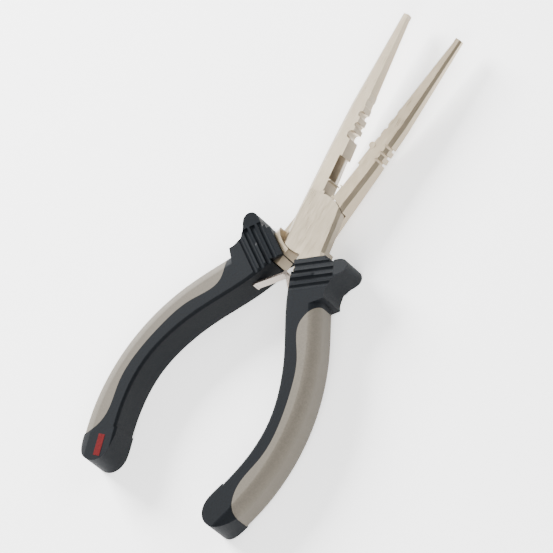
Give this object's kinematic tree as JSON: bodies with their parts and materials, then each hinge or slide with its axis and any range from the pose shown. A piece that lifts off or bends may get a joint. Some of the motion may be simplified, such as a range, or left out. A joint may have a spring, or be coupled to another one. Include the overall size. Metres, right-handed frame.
{
  "type": "fishing pliers",
  "caption": "Long-nose fishing pliers with a riveted lap joint, serrated jaws with hook notches, side cutter, leaf spring and two-colour curved grips.",
  "frame": {"origin": "on the pivot axis, at the underside of the lap joint (flush lower end of the rivet)", "axes": "+Z along the pivot axis, towards the side with the notched jaw's plate; +Y along the middle line of the tool to the jaw tips; +X to the side of the crimping jaw and the handle of the notched jaw's lever"},
  "size_m": [0.084, 0.2091, 0.0173],
  "materials": {
    "forged_steel": "satin nickel plate over forged steel",
    "rivet_steel": "ground flush, satin",
    "core_plastic": "hard core under the grip, out of sight",
    "black_grip": "soft black plastic, fine grain on the flat faces",
    "grey_grip": "soft warm-grey plastic, matte",
    "black_cap": "black plastic, fine grain",
    "red_badge": "plain red inset, slightly raised",
    "spring_steel": "thin bright spring strip"
  },
  "bodies": {
    "upper_handle": {"upper_lever": "forged_steel", "pivot_rivet": "rivet_steel", "right_grip_core": "core_plastic", "right_grip_shell": "black_grip", "right_grip_inlay": "grey_grip", "right_end_cap": "black_cap"},
    "lower_handle": {"lower_lever": "forged_steel", "left_grip_core": "core_plastic", "left_grip_shell": "black_grip", "left_grip_inlay": "grey_grip", "left_end_cap": "black_cap", "left_badge": "red_badge"},
    "rear_leaf": {"spring_rear_leaf": "spring_steel"},
    "front_leaf": {"spring_front_leaf": "spring_steel"}
  },
  "joints": [
    {"name": "jaw_pivot", "type": "hinge", "parent": "upper_handle", "child": "lower_handle", "pos_m": [0, 0, 0], "axis": [0, 0, 1], "range_deg": [-5, 14.6], "stiffness_Nm_per_rad": 2},
    {"name": "rear_leaf_flex", "type": "hinge", "parent": "upper_handle", "child": "rear_leaf", "pos_m": [0.00932, -0.03026, 0], "axis": [0, 0, 1], "range_deg": [-14.3, 5]},
    {"name": "front_leaf_flex", "type": "hinge", "parent": "lower_handle", "child": "front_leaf", "pos_m": [-0.00932, -0.03026, 0], "axis": [0, 0, 1], "range_deg": [-5, 14.3]}
  ],
  "couplings": [
    {"joint": "rear_leaf_flex", "follows": "jaw_pivot", "ratio": -0.97},
    {"joint": "front_leaf_flex", "follows": "jaw_pivot", "ratio": 0.97}
  ]
}
